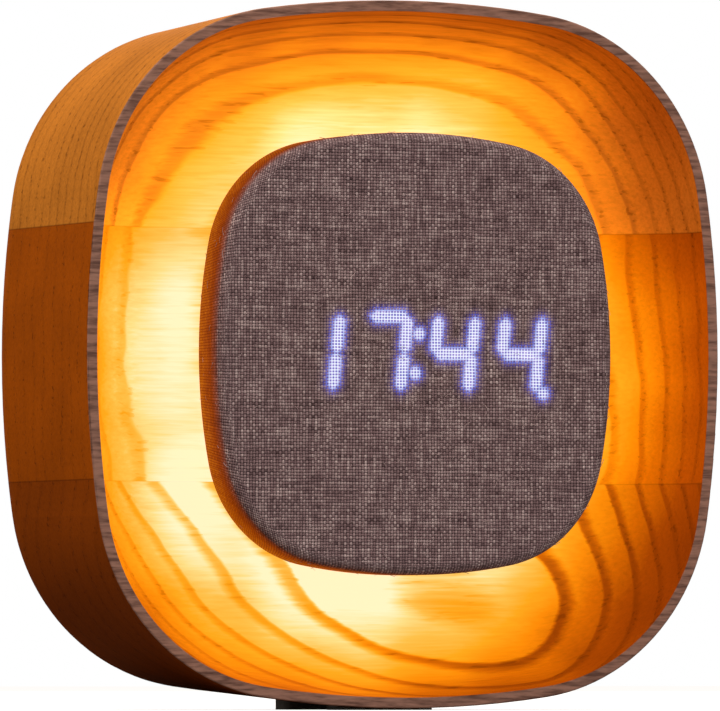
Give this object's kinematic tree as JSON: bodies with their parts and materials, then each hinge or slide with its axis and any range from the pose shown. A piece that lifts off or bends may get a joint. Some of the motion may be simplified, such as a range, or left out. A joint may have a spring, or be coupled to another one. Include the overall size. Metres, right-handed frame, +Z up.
{
  "type": "alarm clock",
  "caption": "Desk alarm clock: a squircle wooden bowl on edge with a linen-covered drum floating in its centre, lit digits shining through the linen and a warm light behind it.",
  "frame": {"origin": "on the table, under the middle of the clock's bounding box", "axes": "+X to the right seen from the front, +Y towards the back (the display faces -Y), +Z up"},
  "size_m": [0.13, 0.06, 0.1323],
  "materials": {
    "wood": "satin",
    "silicone": "matte",
    "linen": "matte",
    "dark_plastic": "matte",
    "white_plastic": "matte",
    "grey_plastic": "matte",
    "window_film": "gloss",
    "board_green": "satin",
    "chip_black": "matte",
    "steel": "satin",
    "brass": "satin",
    "capacitor_can": "satin",
    "cell_wrap": "gloss",
    "led_white": "gloss",
    "led_warm": "gloss",
    "led_off": "satin",
    "diffuser": "satin"
  },
  "bodies": {
    "clock": {"upper_board": "wood", "middle_board": "wood", "lower_board": "wood", "base_pads": "silicone", "pod_stem": "dark_plastic", "stem_screws": "steel", "pod_back_plate": "dark_plastic", "light_ring_board": "board_green", "light_leds": "led_warm", "light_diffuser": "diffuser", "pod_front_shell": "dark_plastic", "linen_cover": "linen", "display_window": "window_film", "display_board": "board_green", "display_module": "dark_plastic", "lit_segments": "led_white", "unlit_segments": "led_off", "display_dots": "led_white", "pod_screws": "steel", "drum_mount_screws": "steel", "ribbon_cable": "white_plastic", "ribbon_sockets": "white_plastic", "main_board": "board_green", "main_chip": "chip_black", "capacitors": "capacitor_can", "board_standoffs": "brass", "board_screws": "steel", "board_header": "chip_black", "control_board": "board_green", "control_screws": "steel", "buzzer": "chip_black", "usb_socket": "steel", "slide_switch_body": "steel", "tact_switches": "chip_black", "rear_cover": "dark_plastic", "cover_screws": "steel", "threaded_inserts": "brass", "battery_cells": "cell_wrap", "battery_springs": "steel", "battery_contacts": "steel"},
    "press_set": {"button_set": "grey_plastic", "plunger_set": "white_plastic"},
    "press_down": {"button_down": "grey_plastic", "plunger_down": "white_plastic"},
    "press_up": {"button_up": "grey_plastic", "plunger_up": "white_plastic"},
    "press_alarm": {"button_alarm": "grey_plastic", "plunger_alarm": "white_plastic"},
    "press_light": {"button_light": "grey_plastic", "plunger_light": "white_plastic"},
    "alarm_knob": {"slide_switch_knob": "chip_black"},
    "door": {"battery_door": "dark_plastic"}
  },
  "joints": [
    {"name": "set_button", "type": "slide", "parent": "clock", "child": "press_set", "axis": [0, -1, 0], "range_m": [0, 0.0004], "stiffness_N_per_m": 500},
    {"name": "down_button", "type": "slide", "parent": "clock", "child": "press_down", "axis": [0, -1, 0], "range_m": [0, 0.0004], "stiffness_N_per_m": 500},
    {"name": "up_button", "type": "slide", "parent": "clock", "child": "press_up", "axis": [0, -1, 0], "range_m": [0, 0.0004], "stiffness_N_per_m": 500},
    {"name": "alarm_button", "type": "slide", "parent": "clock", "child": "press_alarm", "axis": [0, -1, 0], "range_m": [0, 0.0004], "stiffness_N_per_m": 500},
    {"name": "light_button", "type": "slide", "parent": "clock", "child": "press_light", "axis": [0, -1, 0], "range_m": [0, 0.0004], "stiffness_N_per_m": 500},
    {"name": "alarm_switch", "type": "slide", "parent": "clock", "child": "alarm_knob", "axis": [1, 0, 0], "range_m": [0, 0.002]},
    {"name": "battery_door_off", "type": "slide", "parent": "clock", "child": "door", "axis": [0, 1, 0], "range_m": [0, 0.03]}
  ]
}
